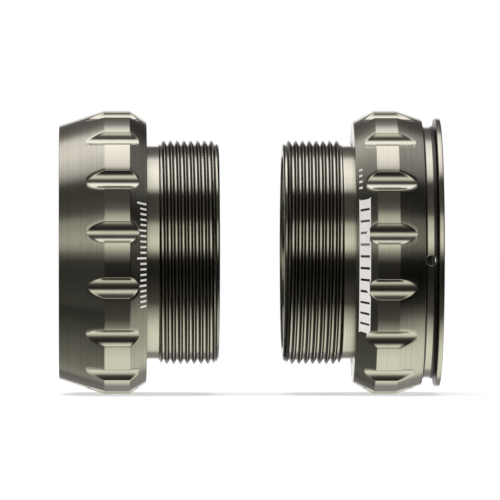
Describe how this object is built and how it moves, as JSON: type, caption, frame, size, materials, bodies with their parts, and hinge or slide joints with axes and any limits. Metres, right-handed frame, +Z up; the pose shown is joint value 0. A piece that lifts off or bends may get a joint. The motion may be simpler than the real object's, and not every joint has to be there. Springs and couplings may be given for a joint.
{
  "type": "bottom bracket",
  "caption": "Outboard bottom bracket: a pair of threaded aluminium cups with notched crowns, each holding a sealed ball bearing for a crank axle.",
  "frame": {"origin": "on the crank axle's axis, at the middle of the whole length over both cups", "axes": "+X along the axle from the left cup to the right cup, +Z up, -Y towards the front of the pair as it is shown"},
  "size_m": [0.059, 0.044, 0.044],
  "materials": {
    "anodised_aluminium": "turned, warm grey anodised, satin",
    "spring_steel": "rolled strip, tempered",
    "bearing_steel": "ground",
    "ball_steel": "lapped, bright",
    "cage_steel": "pressed strip",
    "rivet_steel": "headed wire",
    "seal_rubber": "moulded nitrile rubber",
    "dust_rubber": "moulded nitrile rubber, matt"
  },
  "bodies": {
    "left_cup": {"left_cup": "anodised_aluminium", "left_wave_washer": "spring_steel"},
    "left_bearing": {"left_outer_ring": "bearing_steel", "left_seal_outboard": "seal_rubber", "left_seal_inboard": "seal_rubber"},
    "left_inner_race": {"left_inner_ring": "bearing_steel", "left_dust_seal": "dust_rubber"},
    "left_ball_cage": {"left_balls": "ball_steel", "left_cage_outboard": "cage_steel", "left_cage_inboard": "cage_steel", "left_cage_rivets": "rivet_steel"},
    "right_cup": {"right_cup": "anodised_aluminium", "right_outer_ring": "bearing_steel", "right_seal_outboard": "seal_rubber", "right_seal_inboard": "seal_rubber"},
    "right_inner_race": {"right_inner_ring": "bearing_steel", "right_dust_seal": "dust_rubber"},
    "right_ball_cage": {"right_balls": "ball_steel", "right_cage_outboard": "cage_steel", "right_cage_inboard": "cage_steel", "right_cage_rivets": "rivet_steel"}
  },
  "joints": [
    {"name": "cup_spacing", "type": "slide", "parent": "left_cup", "child": "right_cup", "axis": [1, 0, 0], "range_m": [0, 0.036]},
    {"name": "left_bearing_float", "type": "slide", "parent": "left_cup", "child": "left_bearing", "axis": [1, 0, 0], "range_m": [0, 0.0007], "stiffness_N_per_m": 8000, "springref_m": -0.0005, "deforming": ["left_wave_washer"]},
    {"name": "left_spin", "type": "hinge", "parent": "left_bearing", "child": "left_inner_race", "pos_m": [-0.02411, 0, 0], "axis": [1, 0, 0], "continuous": true},
    {"name": "left_cage_spin", "type": "hinge", "parent": "left_bearing", "child": "left_ball_cage", "pos_m": [-0.02411, 0, 0], "axis": [1, 0, 0], "continuous": true},
    {"name": "right_spin", "type": "hinge", "parent": "right_cup", "child": "right_inner_race", "pos_m": [0.02361, 0, 0], "axis": [1, 0, 0], "continuous": true},
    {"name": "right_cage_spin", "type": "hinge", "parent": "right_cup", "child": "right_ball_cage", "pos_m": [0.02361, 0, 0], "axis": [1, 0, 0], "continuous": true}
  ],
  "couplings": [
    {"joint": "left_cage_spin", "follows": "left_spin", "ratio": 0.44881},
    {"joint": "right_cage_spin", "follows": "right_spin", "ratio": 0.44881}
  ]
}
